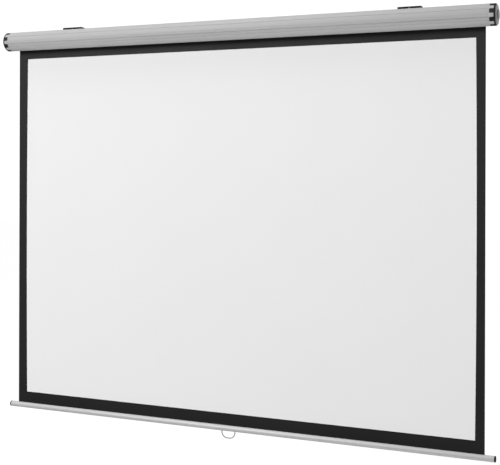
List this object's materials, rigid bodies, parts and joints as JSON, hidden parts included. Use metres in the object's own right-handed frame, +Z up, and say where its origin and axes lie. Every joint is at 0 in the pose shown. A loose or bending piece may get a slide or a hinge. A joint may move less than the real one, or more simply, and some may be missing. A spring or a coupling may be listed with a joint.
{
  "type": "pull down projector screen",
  "caption": "Manual pull-down projection screen: round housing with castellated end caps, spring roller, black-framed white fabric, round weight bar with a wire pull, hook-on brackets.",
  "frame": {"origin": "on the wall plane behind the housing, at mid-length, level with the housing's axis", "axes": "+X to the right as seen from the front, along the housing; +Y into the wall; +Z up; the viewer is at -Y"},
  "size_m": [1.6794, 0.0665, 1.3345],
  "materials": {
    "aluminium": "satin anodised extrusion",
    "silver_plastic": "silver, satin",
    "black_plastic": "fine matte",
    "grey_plastic": "fine matte",
    "nylon": "natural moulded nylon",
    "steel": "galvanised or oiled spring steel",
    "zinc_steel": "bright zinc plate",
    "black_metal": "black powder coat",
    "white_fabric": "matt white with a black printed frame"
  },
  "bodies": {
    "housing": {"housing_tube": "aluminium", "end_cap_left": "black_plastic", "end_cap_right": "black_plastic", "trim_ring_left": "silver_plastic", "trim_ring_right": "silver_plastic", "cover_disc_left": "grey_plastic", "cover_disc_right": "grey_plastic", "cap_screw_left_1": "zinc_steel", "cap_screw_left_2": "zinc_steel", "cap_screw_left_3": "zinc_steel", "cap_screw_right_1": "zinc_steel", "cap_screw_right_2": "zinc_steel", "cap_screw_right_3": "zinc_steel", "tang_seat": "zinc_steel", "idle_bush": "nylon", "spindle": "zinc_steel", "spindle_clip": "steel", "ratchet_wheel": "zinc_steel", "spring_anchor": "nylon", "torsion_spring": "steel", "projection_fabric": "white_fabric"},
    "roller": {"roller_tube": "steel", "fabric_retainer": "nylon", "fabric_turns": "white_fabric", "idle_plug": "nylon", "idle_pin": "zinc_steel", "ratchet_plug": "nylon", "spindle_carrier": "nylon", "pawl_pin_1": "zinc_steel", "pawl_pin_2": "zinc_steel"},
    "upper_pawl": {"pawl_1": "zinc_steel"},
    "lower_pawl": {"pawl_2": "zinc_steel"},
    "bar": {"weight_bar": "aluminium", "hem_rod": "nylon", "bar_cap_left": "black_plastic", "bar_cap_right": "black_plastic", "bail_clip": "black_plastic", "clip_screw": "zinc_steel"},
    "bail": {"pull_bail": "zinc_steel"},
    "left_bracket": {"bracket_left": "black_metal", "clamp_screw_left": "zinc_steel"},
    "right_bracket": {"bracket_right": "black_metal", "clamp_screw_right": "zinc_steel"}
  },
  "joints": [
    {"name": "screen_travel", "type": "slide", "parent": "housing", "child": "bar", "axis": [0, 0, 1], "range_m": [0, 1.225], "deforming": ["projection_fabric"]},
    {"name": "roller_spin", "type": "hinge", "parent": "housing", "child": "roller", "pos_m": [0, -0.0345, 0], "axis": [1, 0, 0], "range_deg": [0, 3420]},
    {"name": "upper_pawl_swing", "type": "hinge", "parent": "roller", "child": "upper_pawl", "pos_m": [-0.8056, -0.02815, 0.011], "axis": [1, 0, 0], "range_deg": [0, 22]},
    {"name": "lower_pawl_swing", "type": "hinge", "parent": "roller", "child": "lower_pawl", "pos_m": [-0.8056, -0.04085, -0.011], "axis": [1, 0, 0], "range_deg": [0, 22]},
    {"name": "bail_swing", "type": "hinge", "parent": "bar", "child": "bail", "pos_m": [0, -0.01591, -1.2656], "axis": [1, 0, 0], "range_deg": [-45, 28]},
    {"name": "left_bracket_slide", "type": "slide", "parent": "housing", "child": "left_bracket", "axis": [1, 0, 0], "range_m": [-0.19, 0.54]},
    {"name": "right_bracket_slide", "type": "slide", "parent": "housing", "child": "right_bracket", "axis": [1, 0, 0], "range_m": [-0.54, 0.19]}
  ],
  "couplings": [
    {"joint": "roller_spin", "follows": "screen_travel", "rad_per_m": 48.727}
  ]
}
